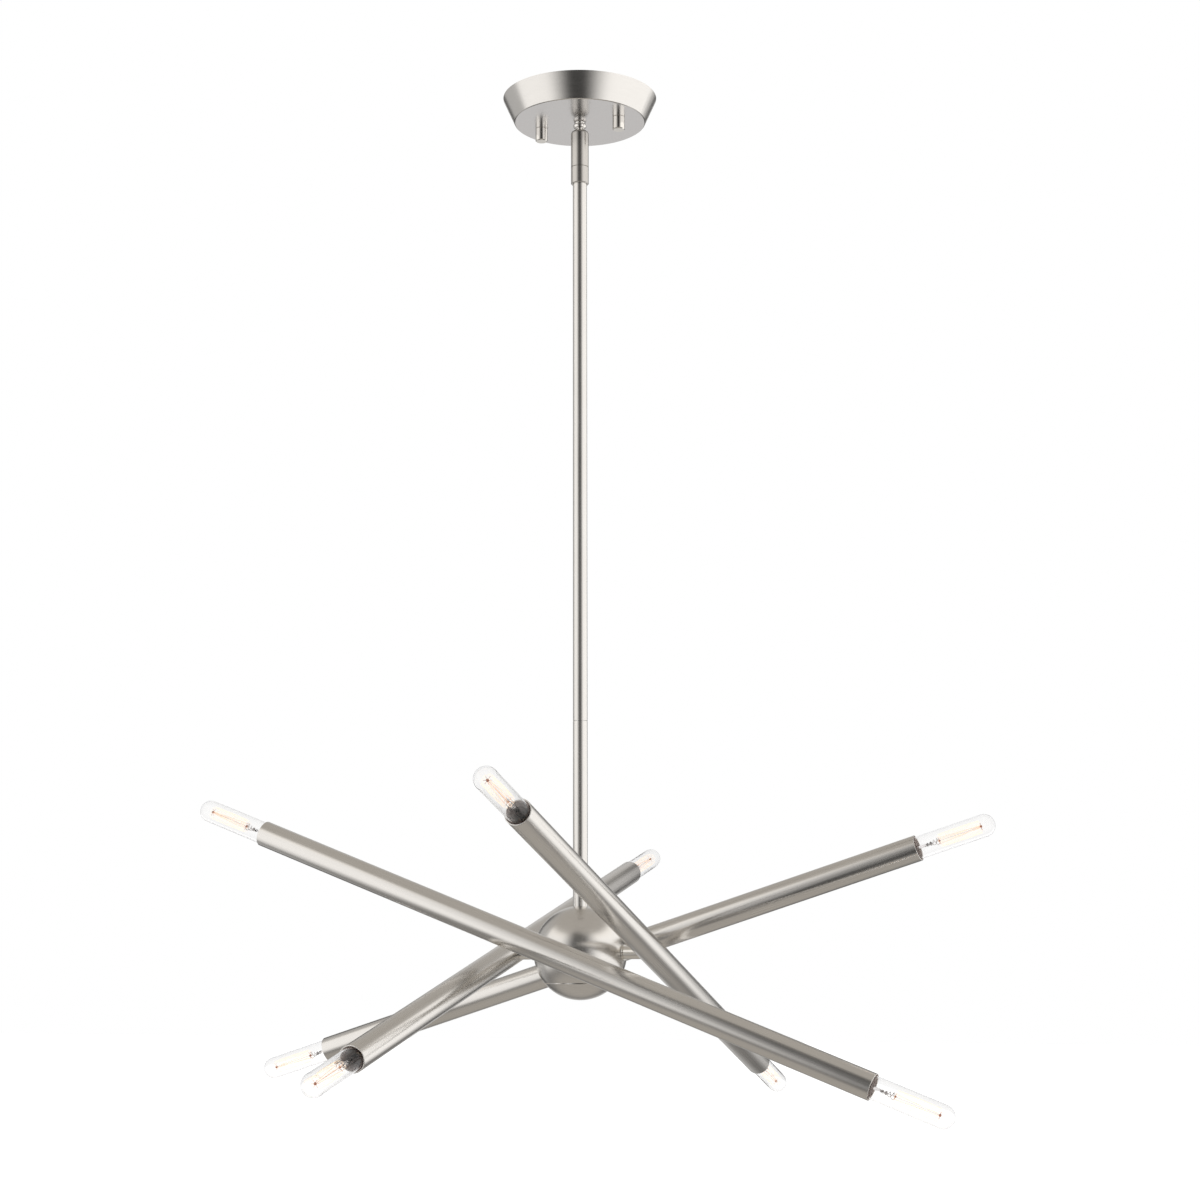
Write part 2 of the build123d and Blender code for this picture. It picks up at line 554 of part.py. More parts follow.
def lamp_socket():
    """Moulded socket body about Z, height 0 being the tube's end."""
    face = -BASE_RIM_DEPTH - LAMP_SOCKET_BELOW_RIM
    floor = SHELL_FLOOR_Z
    bore_r = SHELL_OUTER / 2 + SHELL_SEAT_CLEARANCE
    r = LAMP_SOCKET_DIAMETER / 2
    back = floor - LAMP_SOCKET_FLOOR
    return turned(
        (0, back), (r, back), (r, face), (bore_r, face), (bore_r, floor), (0, floor)
    )


def socket_shell():
    """Brass cup that the bulb's base screws into."""
    face = -BASE_RIM_DEPTH - LAMP_SOCKET_BELOW_RIM
    inner_r = SHELL_OUTER / 2 - SHELL_WALL
    floor = SHELL_FLOOR_Z + SHELL_WALL
    return turned(
        (0, SHELL_FLOOR_Z), (SHELL_OUTER / 2, SHELL_FLOOR_Z), (SHELL_OUTER / 2, face),
        (inner_r, face), (inner_r, floor), (0, floor),
    )


def bulb_base():
    """Metal screw base of a bulb, filled with cement."""
    return ring(BASE_DIAMETER, 0, -BASE_RIM_DEPTH - BASE_LENGTH, -BASE_RIM_DEPTH)


def bulb_glass():
    """Clear tubular glass with a round tip, drawn in to the base's rim."""
    r = BULB_DIAMETER / 2
    inner_r = r - GLASS_WALL
    neck_r = GLASS_NECK_DIAMETER / 2
    neck_bore_r = neck_r - GLASS_WALL
    tip_centre_z = BULB_REACH - r
    floor_z = GLASS_WALL - GLASS_SHOULDER_DEPTH
    glass = Pos(0, 0, tip_centre_z) * Sphere(r)
    glass += turned(
        (0, -BASE_RIM_DEPTH), (neck_r, -BASE_RIM_DEPTH), (r, -GLASS_SHOULDER_DEPTH),
        (r, tip_centre_z), (0, tip_centre_z),
    )
    return glass - turned(
        (0, -BASE_RIM_DEPTH),
        (neck_bore_r, -BASE_RIM_DEPTH),
        (neck_bore_r, floor_z),
        (inner_r, floor_z),
        (inner_r, tip_centre_z),
        (0, tip_centre_z + inner_r),
    )


def upright_bar(width, at, low, high):
    """A slim square bar parallel to Z with its middle at (x, y)."""
    return Pos(at[0], at[1], (low + high) / 2) * Box(width, width, high - low)


def bulb_filament():
    """Glass mount on the base, with a button, a centre rod and a cage of straight strands."""
    foot = -BASE_RIM_DEPTH
    button_top = MOUNT_BUTTON_AT + MOUNT_BUTTON_HEIGHT
    mount = upright_bar(MOUNT_STEM_WIDTH, (0, 0), foot, MOUNT_BUTTON_AT)
    mount += upright_bar(MOUNT_BUTTON_WIDTH, (0, 0), MOUNT_BUTTON_AT, button_top)
    mount += upright_bar(CAGE_ROD_WIDTH, (0, 0), button_top, CAGE_END)
    hook = Box(2 * CAGE_RADIUS + STRAND_WIDTH, STRAND_WIDTH, STRAND_WIDTH)
    strand = upright_bar(STRAND_WIDTH, (CAGE_RADIUS, 0), CAGE_START, CAGE_END)
    for step in range(CAGE_STRANDS):
        turn = Rot(0, 0, step * 360 / CAGE_STRANDS)
        mount += turn * strand
    for step in range(CAGE_STRANDS // 2):
        turn = Rot(0, 0, step * 360 / CAGE_STRANDS)
        mount += turn * Pos(0, 0, CAGE_START + STRAND_WIDTH / 2) * hook
        mount += turn * Pos(0, 0, CAGE_END - STRAND_WIDTH / 2) * hook
    return mount


def at_both_ends(solid):
    """Copies of a piece made about Z, one on the tube's axis at each end, pointing out."""
    ends = []
    for side in (-1, 1):
        place = Pos(TUBE_OFFSET, side * TUBE_LENGTH / 2, 0) * Rot(-side * 90, 0, 0)
        ends.append(place * solid)
    return ends


def arm_pieces():
    """Every sub-part of one arm, before it is tilted and turned into place."""
    return {
        "tube": [tube()],
        "post": [post()],
        "post_nut": [post_nut()],
        "lamp_sockets": at_both_ends(lamp_socket()),
        "socket_shells": at_both_ends(socket_shell()),
        "bulb_bases": at_both_ends(bulb_base()),
        "bulb_glasses": at_both_ends(bulb_glass()),
        "bulb_filaments": at_both_ends(bulb_filament()),
    }


# ---------------------------------------------------------------- write every sub-part
os.makedirs("parts", exist_ok=True)

FIXED_PIECES = (
    canopy, mounting_bracket, canopy_studs, stud_lock_nuts, canopy_cap_nuts, ground_screw,
    swivel_neck, swivel_ball_stud, canopy_lock_washer, canopy_lock_nut,
    swivel_socket, swivel_seat_ring, stem_stop_screw,
    stem_coupling, stem_nipple, upper_rod, rod_joiner, lower_rod,
    hub_nipple, hub_washer, hub_nut, hub_body, hub_cap,
)
for make in FIXED_PIECES:
    write(make.__name__, make())

one_arm = arm_pieces()
for arm_name, (azimuth, tilt) in ARMS.items():
    place = Pos(0, 0, HUB_Z) * Rot(0, 0, azimuth) * Rot(-tilt, 0, 0)
    for piece_name, solids in one_arm.items():
        write(f"{arm_name}_{piece_name}", [place * solid for solid in solids])
    print(arm_name, "arm turns from", tilt - ARM_TILT_MOST, "to", round(tilt - ARM_TILT_LEAST, 1))
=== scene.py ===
# %% [markdown]
# # Sputnik chandelier
# A ceiling light of four crossed tubes with a clear tubular bulb in each of their eight
# ends. The CAD model is the frame: every metal part that has the right shape stays as it
# is and gets a finish here. Four kinds of piece are made again, because the eye comes
# close to them: the swivel's neck, the tubes with their rolled rims, the bulbs' glass,
# and what is in it.

# %% Load the CAD model
from math import atan2, cos, degrees, pi, radians, sin, sqrt

import bmesh
import bpy
from mathutils import Matrix, Vector


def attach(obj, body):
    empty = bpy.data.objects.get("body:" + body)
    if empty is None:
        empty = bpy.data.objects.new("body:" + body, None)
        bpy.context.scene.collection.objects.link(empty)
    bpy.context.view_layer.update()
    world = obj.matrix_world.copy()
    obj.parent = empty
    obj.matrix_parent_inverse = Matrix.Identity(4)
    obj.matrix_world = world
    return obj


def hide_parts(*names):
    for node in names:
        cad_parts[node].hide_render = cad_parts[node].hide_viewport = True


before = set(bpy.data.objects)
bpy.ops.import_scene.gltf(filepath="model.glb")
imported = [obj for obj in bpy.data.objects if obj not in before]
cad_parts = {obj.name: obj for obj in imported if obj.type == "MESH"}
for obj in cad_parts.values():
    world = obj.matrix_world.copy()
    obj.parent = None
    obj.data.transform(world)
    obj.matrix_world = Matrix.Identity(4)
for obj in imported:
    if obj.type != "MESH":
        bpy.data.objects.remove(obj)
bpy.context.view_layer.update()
MM = 0.001

# %% [markdown]
# ## The camera
# The light hangs from the ceiling and is seen from a little below its middle, so the
# camera stands at the height of the hub and looks up by nine degrees, turned 22 degrees
# to the right of the front. It leans by a tenth of a degree, because the stem in the
# picture does. A long lens keeps the four tubes' lengths comparable.

# %% Camera
CAMERA_PLACE = (0.77070, -1.82229, -0.78136)
CAMERA_TURN = 22.44
CAMERA_RISE = 9.18
CAMERA_LEAN = 0.12
camera_data = bpy.data.cameras.new("photo_camera")
camera_data.lens = 68.47
camera_data.sensor_width = 36.0
camera_data.clip_start, camera_data.clip_end = 0.05, 60.0
camera = bpy.data.objects.new("photo_camera", camera_data)
camera.location = CAMERA_PLACE
camera.rotation_euler = (radians(90 + CAMERA_RISE), radians(CAMERA_LEAN), radians(CAMERA_TURN))
bpy.context.scene.collection.objects.link(camera)
bpy.context.scene.camera = camera
print("camera", tuple(round(v, 3) for v in camera.location))

# %% [markdown]
# ## Places of the four arms
# Each arm is one tube on a post. All four are the same piece, turned about the hub and
# tilted a little differently, so a single matrix carries anything made for "a tube
# along Z" to its place.

# %% Arms
HUB_HEIGHT = -767.8 * MM
TUBE_LENGTH = 588.6 * MM
TUBE_OFFSET = 66.4 * MM
# The direction of each arm's post and the tilt of its tube, in degrees.
ARMS = {"front": (270, 20.9), "right": (0, 20.2), "back": (90, 17.1), "left": (180, 15.8)}
# The place of each end along the tube, and the turn that points Z out of it.
ENDS = {"a": (-TUBE_LENGTH / 2, 90), "b": (TUBE_LENGTH / 2, -90)}


def turn(axis, angle):
    return Matrix.Rotation(radians(angle), 4, axis)


def arm_place(azimuth, tilt, along, flip):
    """Matrix of a point on a tube's axis, its Z pointing out of that end of the tube."""
    on_axis = Matrix.Translation((TUBE_OFFSET, along, 0)) @ turn("X", flip)
    hub = Matrix.Translation((0, 0, HUB_HEIGHT))
    return hub @ turn("Z", azimuth) @ turn("X", -tilt) @ on_axis


print("arms", list(ARMS), "ends", list(ENDS))

# %% [markdown]
# ## A helper for turned pieces
# Tubes, bulbs and the neck are all round, so most meshes here are a section turned about
# Z. Doing it in code keeps the point count under control, and a sharp edge stays sharp
# while the round faces are shaded smooth. A piece is made upright and its points are then
# moved to its place, as the CAD parts are. Where each point was is kept on the mesh, so
# that the grain of the metal can follow the tube.

# %% Turned meshes
def linked(name, mesh, place=Matrix.Identity(4)):
    """Puts a copy of a mesh in the scene at a place, and keeps where its points were."""
    mesh = mesh.copy()
    own = mesh.attributes.new("own_place", "FLOAT_VECTOR", "POINT")
    for point, kept in zip(mesh.vertices, own.data):
        kept.vector = point.co
    mesh.transform(place)
    piece = bpy.data.objects.new(name, mesh)
    bpy.context.scene.collection.objects.link(piece)
    return piece


def turned(bm, section, segments, closed=False):
    """Turns (radius, height) points about Z. A radius of 0 makes a pole."""
    rings = []
    for radius, height in section:
        if radius < 1e-9:
            rings.append([bm.verts.new((0, 0, height))])
            continue
        angles = [2 * pi * step / segments for step in range(segments)]
        rings.append([bm.verts.new((radius * cos(a), radius * sin(a), height)) for a in angles])
    following = rings[1:] + rings[:1] if closed else rings[1:]
    for low, high in zip(rings, following):
        for step in range(segments):
            after = (step + 1) % segments
            corners = [ring[at % len(ring)] for ring, at in
                       ((low, step), (low, after), (high, after), (high, step))]
            unique = list(dict.fromkeys(corners))
            if len(unique) > 2:
                bm.faces.new(unique)


def finished_mesh(name, bm, sharp=35):
    """Closes a bmesh into a smooth mesh whose edges over the sharp angle stay sharp."""
    bmesh.ops.recalc_face_normals(bm, faces=bm.faces)
    mesh = bpy.data.meshes.new(name)
    bm.to_mesh(mesh)
    bm.free()
    mesh.shade_smooth()
    mesh.set_sharp_from_angle(angle=radians(sharp))
    return mesh


def arc(centre_r, centre_h, radius, start, stop, steps):
    """Points of an arc in a section, angles in degrees from the outward direction."""
    angles = [radians(start + (stop - start) * step / steps) for step in range(steps + 1)]
    return [(centre_r + radius * cos(a), centre_h + radius * sin(a)) for a in angles]


print("helpers ready")

# %% [markdown]
# ## The studio
# Metal shows its surroundings, so the studio is half of the picture. The camera looks at
# a white room with a pale floor. The room is written to be white only where it is seen,
# and it lights the object at a plain level. The floor is a matt grey that is lifted to
# white in the same way, and keeps the object's shadow.

# %% Helpers for materials
def rays(nodes, links, *kinds):
    """1 for the kinds of ray that are named, 0 for all others."""
    path = nodes.new("ShaderNodeLightPath")
    either = path.outputs[kinds[0]]
    for kind in kinds[1:]:
        larger = nodes.new("ShaderNodeMath")
        larger.operation = "MAXIMUM"
        links.new(either, larger.inputs[0])
        links.new(path.outputs[kind], larger.inputs[1])
        either = larger.outputs[0]
    return either


def times(nodes, links, value, factor):
    """A value multiplied by a fixed factor."""
    product = nodes.new("ShaderNodeMath")
    product.operation = "MULTIPLY"
    product.inputs[1].default_value = factor
    links.new(value, product.inputs[0])
    return product.outputs[0]


def new_material(name):
    """A new material, with its nodes, its links and its main shader."""
    material = bpy.data.materials.new(name)
    material.use_nodes = True
    nodes, links = material.node_tree.nodes, material.node_tree.links
    return material, nodes, links, nodes["Principled BSDF"]


print("material helpers ready")

# %% World
WORLD_LIGHT = 0.55
scene = bpy.context.scene
scene.view_settings.view_transform = "Standard"
world = bpy.data.worlds.new("studio")
scene.world = world
world.use_nodes = True
nodes, links = world.node_tree.nodes, world.node_tree.links
nodes.clear()
strength = nodes.new("ShaderNodeMapRange")
strength.inputs["To Min"].default_value = WORLD_LIGHT
strength.inputs["To Max"].default_value = 1.0
seen = rays(nodes, links, "Is Camera Ray", "Is Glossy Ray", "Is Transmission Ray")
links.new(seen, strength.inputs["Value"])
background = nodes.new("ShaderNodeBackground")
background.inputs["Color"].default_value = (1, 1, 1, 1)
links.new(strength.outputs[0], background.inputs["Strength"])
world_out = nodes.new("ShaderNodeOutputWorld")
links.new(background.outputs[0], world_out.inputs["Surface"])
print("world", WORLD_LIGHT, "to diffuse rays, 1 to the camera")

# %% Floor
FLOOR_HEIGHT = -1.5
FLOOR_HALF = 20.0
FLOOR_GREY = 0.86
FLOOR_LIFT = 0.70
bm = bmesh.new()
bmesh.ops.create_grid(bm, x_segments=1, y_segments=1, size=FLOOR_HALF)
floor = linked("floor", finished_mesh("floor", bm), Matrix.Translation((0, 0, FLOOR_HEIGHT)))
floor_material, nodes, links, floor_shader = new_material("pale_floor")
floor_shader.inputs["Base Color"].default_value = (FLOOR_GREY, FLOOR_GREY, FLOOR_GREY, 1)
floor_shader.inputs["Roughness"].default_value = 0.9
floor_shader.inputs["Specular IOR Level"].default_value = 0.1
floor_shader.inputs["Emission Color"].default_value = (1, 1, 1, 1)
seen = rays(nodes, links, "Is Camera Ray", "Is Transmission Ray")
lift = times(nodes, links, seen, FLOOR_LIFT)
links.new(lift, floor_shader.inputs["Emission Strength"])
floor.data.materials.append(floor_material)
print("floor at", FLOOR_HEIGHT)

# %% [markdown]
# ## The light tent
# A light tent stands round the object, a closed drum of cloth. Only reflections and soft
# light see it; the camera and the glass look through it. On each side it has a tall soft
# panel, with a dark slot between them where the camera looks in, and it has a paler warm
# top and a darker warm bottom. How brightly a place on it glows depends on its direction
# from the hub, so the glow is worked out once for each corner of its mesh and stored as a
# colour attribute. Soft steps between the panels keep the reflections soft too.

# %% What the tent shows
WARM = Vector((1.0, 0.94, 0.86))
COOL = Vector((1.0, 0.985, 0.97))
# Each panel: its glow, then the azimuths as window takes them, in degrees.
LEFT_PANEL = (1.10, -102, 10, -57, 48)
RIGHT_PANEL = (1.18, 54, 52, 128, 16)
SIDE_PANEL = (0.50, 110, 18, 142, 12)
BACK_GLOW = 0.64
SLOT_LOW, SLOT_HIGH = 0.04, 0.07
TOP_GLOW = 0.46
BOTTOM_GLOW, BOTTOM_MORE = 0.20, 0.22
FLAG_GLOW = 0.06


def step_up(low, high, x):
    """0 below low, 1 above high, and a smooth rise between them."""
    t = min(max((x - low) / (high - low), 0), 1)
    return t * t * (3 - 2 * t)


def window(x, low, low_soft, high, high_soft):
    """1 between low and high, fading to 0 over the soft widths outside them."""
    return step_up(low - low_soft, low, x) * (1 - step_up(high, high + high_soft, x))


def tent_glow(azimuth, elevation):
    """Colour of the tent in a direction from the hub, azimuth 0 being the camera's side."""
    aside, steep = abs(azimuth), abs(elevation)
    # The wall: the brightest of its panels, its back and the slot.
    panels = [
        glow * window(where, *edges) for where, (glow, *edges) in
        ((azimuth, LEFT_PANEL), (azimuth, RIGHT_PANEL), (aside, SIDE_PANEL))
    ]
    back = BACK_GLOW * step_up(158, 168, aside)
    slot = SLOT_LOW + SLOT_HIGH * step_up(-12, 6, elevation)
    wall = max(*panels, back, slot)
    # Over and under it the cloth is quiet, but for a dark flag on the camera's side.
    quiet = TOP_GLOW if elevation > 0 else BOTTOM_GLOW + BOTTOM_MORE * step_up(34, 54, -elevation)
    flag = window(azimuth, -17, 12, -3, 15) * (1 - step_up(38, 58, steep))
    quiet = quiet * (1 - flag) + FLAG_GLOW * flag
    # The wall is lit up to an edge that is lower at the back.
    top_edge = 25 + 11 * (1 - step_up(112, 130, aside))
    lit = window(elevation, -14, 24, top_edge, 14)
    warmth = step_up(20, 60, steep)
    return (COOL * (1 - warmth) + WARM * warmth) * (wall * lit + quiet * (1 - lit))


print("glow straight behind the object:", [round(v, 2) for v in tent_glow(180, 0)])

# %% Tent
TENT_RADIUS = 3.4
TENT_TOP = 3.0
TENT_BOTTOM = FLOOR_HEIGHT + 0.01
WALL_STEPS, LID_STEPS, TURN_STEPS = 48, 16, 180
tent_material, nodes, links, _ = new_material("tent_cloth")
nodes.clear()
tent_colour = nodes.new("ShaderNodeVertexColor")
tent_colour.layer_name = "glow"
tent_light = nodes.new("ShaderNodeEmission")
tent_out = nodes.new("ShaderNodeOutputMaterial")
links.new(tent_colour.outputs["Color"], tent_light.inputs["Color"])
links.new(tent_light.outputs[0], tent_out.inputs["Surface"])


def tent_cloth(name, section):
    """One part of the tent, glowing as tent_glow says at each of its corners."""
    bm = bmesh.new()
    turned(bm, section, TURN_STEPS)
    cloth = linked(name, finished_mesh(name, bm))
    glow = cloth.data.color_attributes.new("glow", "FLOAT_COLOR", "POINT")
    for corner, colour in zip(cloth.data.vertices, glow.data):
        x, y, z = corner.co
        azimuth = (degrees(atan2(x, -y)) - CAMERA_TURN + 180) % 360 - 180
        elevation = degrees(atan2(z - HUB_HEIGHT, sqrt(x * x + y * y)))
        colour.color = (*tent_glow(azimuth, elevation), 1)
    cloth.data.materials.append(tent_material)
    cloth.visible_camera = False
    cloth.visible_transmission = False
    cloth.visible_shadow = False
    return cloth


rises = [(TENT_TOP - TENT_BOTTOM) * k / WALL_STEPS for k in range(WALL_STEPS)]
wall = [(TENT_RADIUS, TENT_BOTTOM + rise) for rise in rises]
lid = [(TENT_RADIUS * (LID_STEPS - k) / LID_STEPS, TENT_TOP) for k in range(LID_STEPS + 1)]
tent = tent_cloth("light_tent", wall + lid)
# The base is seen only in reflections, so that the floor under it keeps the light and
# the object's shadow.
base = [(TENT_RADIUS * k / LID_STEPS, TENT_BOTTOM) for k in range(LID_STEPS + 1)]
tent_base = tent_cloth("light_tent_base", base)
tent_base.visible_diffuse = False
print("tent corners", len(tent.data.vertices) + len(tent_base.data.vertices))

# %% [markdown]
# ## Brushed nickel
# The tubes, rods and canopy are steel, brushed and then nickel plated. Brushing leaves
# fine scratches that run one way: along a tube or a rod, round the canopy. A noise
# texture squeezed across the grain and stretched along it draws them. It drives the
# roughness and a very shallow bump, and shifts the colour by a few percent.

# %% How a metal is made
def stretched_noise(nodes, links, scale, detail=3.0, own=False):
    """A noise texture scaled by (x, y, z) per metre, on the points as made if own is set."""
    if own:
        where = nodes.new("ShaderNodeAttribute")
        where.attribute_name = "own_place"
    else:
        where = nodes.new("ShaderNodeTexCoord")
    mapping = nodes.new("ShaderNodeMapping")
    mapping.inputs["Scale"].default_value = scale
    noise = nodes.new("ShaderNodeTexNoise")
    noise.inputs["Scale"].default_value = 1.0
    noise.inputs["Detail"].default_value = detail
    noise.inputs["Roughness"].default_value = 0.6
    links.new(where.outputs["Vector" if own else "Object"], mapping.inputs["Vector"])
    links.new(mapping.outputs["Vector"], noise.inputs["Vector"])
    return noise.outputs["Fac"]


def spread(nodes, links, value, low, high):
    """Maps a noise value, which stays mostly from 0.3 to 0.7, onto low to high."""
    to_range = nodes.new("ShaderNodeMapRange")
    to_range.inputs["From Min"].default_value = 0.3
    to_range.inputs["From Max"].default_value = 0.7
    to_range.inputs["To Min"].default_value = low
    to_range.inputs["To Max"].default_value = high
    links.new(value, to_range.inputs["Value"])
    return to_range.outputs[0]


def mixed(nodes, links, factor, low, high):
    """Blends two colours by a factor from 0 to 1."""
    mix = nodes.new("ShaderNodeMix")
    mix.data_type = "RGBA"
    mix.inputs["A"].default_value = (*low, 1)
    mix.inputs["B"].default_value = (*high, 1)
    links.new(factor, mix.inputs["Factor"])
    return mix.outputs["Result"]


def bumped(nodes, links, shader, height, strength, distance):
    """Gives a shader a very shallow relief."""
    bump = nodes.new("ShaderNodeBump")
    bump.inputs["Strength"].default_value = strength
    bump.inputs["Distance"].default_value = distance
    links.new(height, bump.inputs["Height"])
    links.new(bump.outputs[0], shader.inputs["Normal"])


CLOUD = (14, 14, 14)
SCRATCH_SHARE, CLOUD_SHARE = 0.65, 0.35
SCRATCH_HEIGHT = 0.05 * MM


def metal(name, low, high, rough, grain, depth, own=False):
    """A metal whose scratches follow the grain scale, with a faint cloud over them."""
    material, nodes, links, shader = new_material(name)
    shader.inputs["Metallic"].default_value = 1.0
    scratches = stretched_noise(nodes, links, grain, 3.0, own)
    clouds = stretched_noise(nodes, links, CLOUD, 2.0, own)
    both = nodes.new("ShaderNodeMath")
    both.operation = "MULTIPLY_ADD"
    both.inputs[1].default_value = SCRATCH_SHARE
    links.new(scratches, both.inputs[0])
    links.new(times(nodes, links, clouds, CLOUD_SHARE), both.inputs[2])
    shade = mixed(nodes, links, spread(nodes, links, both.outputs[0], 0, 1), low, high)
    links.new(shade, shader.inputs["Base Color"])
    links.new(spread(nodes, links, both.outputs[0], *rough), shader.inputs["Roughness"])
    bumped(nodes, links, shader, scratches, depth, SCRATCH_HEIGHT)
    return material


print("metal helpers ready")

# %% [markdown]
# ## The metals
# One plating lies on nearly all that is seen, but each part was worked in its own way:
# tubes and rods brushed along their length, the canopy spun, the ball turned, the neck
# polished. The canopy's underside is satin without a direction. The inner hardware is
# zinc plated steel and the lamp shells are brass, as an electrician knows them.

# %% Metal finishes
NICKEL = ((0.74, 0.72, 0.69), (0.82, 0.80, 0.77))
ALONG_Z = (1500, 1500, 12)
# Each metal: its darkest and lightest colour, its roughness, its grain, its depth.
METALS = {
    "tube_nickel": (*NICKEL, (0.19, 0.30), ALONG_Z, 0.5),
    "brushed_nickel": (*NICKEL, (0.19, 0.30), ALONG_Z, 0.5),
    "swivel_nickel": ((0.55, 0.53, 0.50), (0.62, 0.60, 0.57), (0.17, 0.27), ALONG_Z, 0.4),
    "spun_nickel": (*NICKEL, (0.18, 0.26), (60, 60, 2600), 0.3),
    "satin_face": ((0.76, 0.745, 0.74), (0.80, 0.785, 0.78), (0.17, 0.24), (900, 900, 900), 0.25),
    "nickel_ball": (*NICKEL, (0.20, 0.28), (240, 240, 1900), 0.3),
    "bright_steel": ((0.80, 0.77, 0.72), (0.88, 0.86, 0.82), (0.08, 0.14), (300, 300, 2600), 0.2),
    "polished_steel": ((0.82, 0.80, 0.77), (0.90, 0.88, 0.85), (0.03, 0.08), (200, 200, 2600), 0.2),
    "zinc_steel": ((0.55, 0.56, 0.57), (0.70, 0.71, 0.72), (0.28, 0.42), (260, 260, 260), 0.5),
    "brass": ((0.68, 0.50, 0.24), (0.82, 0.66, 0.36), (0.16, 0.30), (300, 300, 1800), 0.3),
    "bulb_base_metal": ((0.70, 0.60, 0.42), (0.84, 0.76, 0.58), (0.2, 0.34), (300, 300, 1800), 0.4),
    "lead_wire": ((0.45, 0.43, 0.42), (0.62, 0.60, 0.58), (0.2, 0.35), (900, 900, 900), 0.3),
}
FINISHES = {}
for name, recipe in METALS.items():
    # The tubes are made upright and then tilted, so their grain follows their own places.
    FINISHES[name] = metal(name, *recipe, own=name == "tube_nickel")
print("metal finishes", list(FINISHES))

# %% [markdown]
# ## Painted and moulded finishes
# The ground screw is dyed green so that an electrician finds it. The lamp sockets are
# moulded from a pale brown filled resin, which is speckled and slightly glossy. The same
# recipe serves for the drawn tubes' dull insides and the bulbs' small supports and beads.

# %% Non-metal finishes
def moulded(name, low, high, rough, grain):
    """A speckled non-metal with a fine uneven surface."""
    material, nodes, links, shader = new_material(name)
    speckle = stretched_noise(nodes, links, (grain, grain, grain), 4.0)
    shade = mixed(nodes, links, spread(nodes, links, speckle, 0, 1), low, high)
    links.new(shade, shader.inputs["Base Color"])
    links.new(spread(nodes, links, speckle, *rough), shader.inputs["Roughness"])
    bumped(nodes, links, shader, speckle, 0.3, 0.1 * MM)
    return material


# Each one: its darkest and lightest colour, its roughness, its speckles per metre.
MOULDINGS = {
    "ground_green": ((0.05, 0.26, 0.09), (0.10, 0.40, 0.16), (0.3, 0.45), 500),
    "socket_moulding": ((0.60, 0.47, 0.42), (0.82, 0.68, 0.62), (0.30, 0.5), 900),
    "support": ((0.26, 0.09, 0.05), (0.46, 0.20, 0.12), (0.35, 0.5), 2500),
    "bead": ((0.24, 0.22, 0.22), (0.42, 0.39, 0.38), (0.10, 0.2), 2500),
    "tube_inside": ((0.68, 0.54, 0.49), (0.97, 0.86, 0.80), (0.30, 0.50), 700),
}
for name, recipe in MOULDINGS.items():
    FINISHES[name] = moulded(name, *recipe)
print("other finishes", list(MOULDINGS))

# %% [markdown]
# ## Glass
# The bulb is drawn from clear soda glass. Seen straight on it is nearly invisible, and
# at its edge one looks along the wall, so a thin grey line marks the outline. The layer
# weight gives the tint at that grazing angle. The stem inside is glass too, but thick,
# so it is greyer and bends the light more.

# %% Clear glass and strands
def clear_glass(name, face, edge, bending):
    """Clear glass, tinted where one looks along its wall; bending is its index."""
    material, nodes, links, shader = new_material(name)
    shader.inputs["Transmission Weight"].default_value = 1.0
    shader.inputs["IOR"].default_value = bending
    shader.inputs["Roughness"].default_value = 0.0
    weight = nodes.new("ShaderNodeLayerWeight")
    weight.inputs["Blend"].default_value = 0.08
    tint = mixed(nodes, links, weight.outputs["Facing"], face, edge)
    links.new(tint, shader.inputs["Base Color"])
    ripple = stretched_noise(nodes, links, (150, 150, 150), 1.0)
    bumped(nodes, links, shader, ripple, 0.05, 0.1 * MM)
    return material


def glowing_strand(name, cool, hot, strength):
    """Fine wire at a low glow, brighter along some lengths than others."""
    material = moulded(name, (0.72, 0.40, 0.22), (0.95, 0.66, 0.42), (0.4, 0.5), 600)
    nodes, links = material.node_tree.nodes, material.node_tree.links
    shader = nodes["Principled BSDF"]
    heat = stretched_noise(nodes, links, (200, 200, 60), 1.0)
    glow = mixed(nodes, links, spread(nodes, links, heat, 0, 1), cool, hot)
    links.new(glow, shader.inputs["Emission Color"])
    shader.inputs["Emission Strength"].default_value = strength
    return material


FINISHES["bulb_glass"] = clear_glass("bulb_glass", (0.995, 0.993, 0.99), (0.52, 0.52, 0.54), 1.22)
FINISHES["stem_glass"] = clear_glass("stem_glass", (0.74, 0.72, 0.72), (0.28, 0.27, 0.28), 1.45)
FINISHES["strand"] = glowing_strand("strand", (1.0, 0.80, 0.58), (1.0, 0.93, 0.74), 0.75)
FINISHES["warm_strand"] = glowing_strand("warm_strand", (1.0, 0.42, 0.26), (1.0, 0.62, 0.42), 0.40)
print("glass and strands ready")

# %% [markdown]
# ## Finishing the CAD parts
# Each CAD node is given the finish of the real part. The canopy has two: its sloping
# wall is spun bright, and its flat underside is satin and acts as a soft mirror.

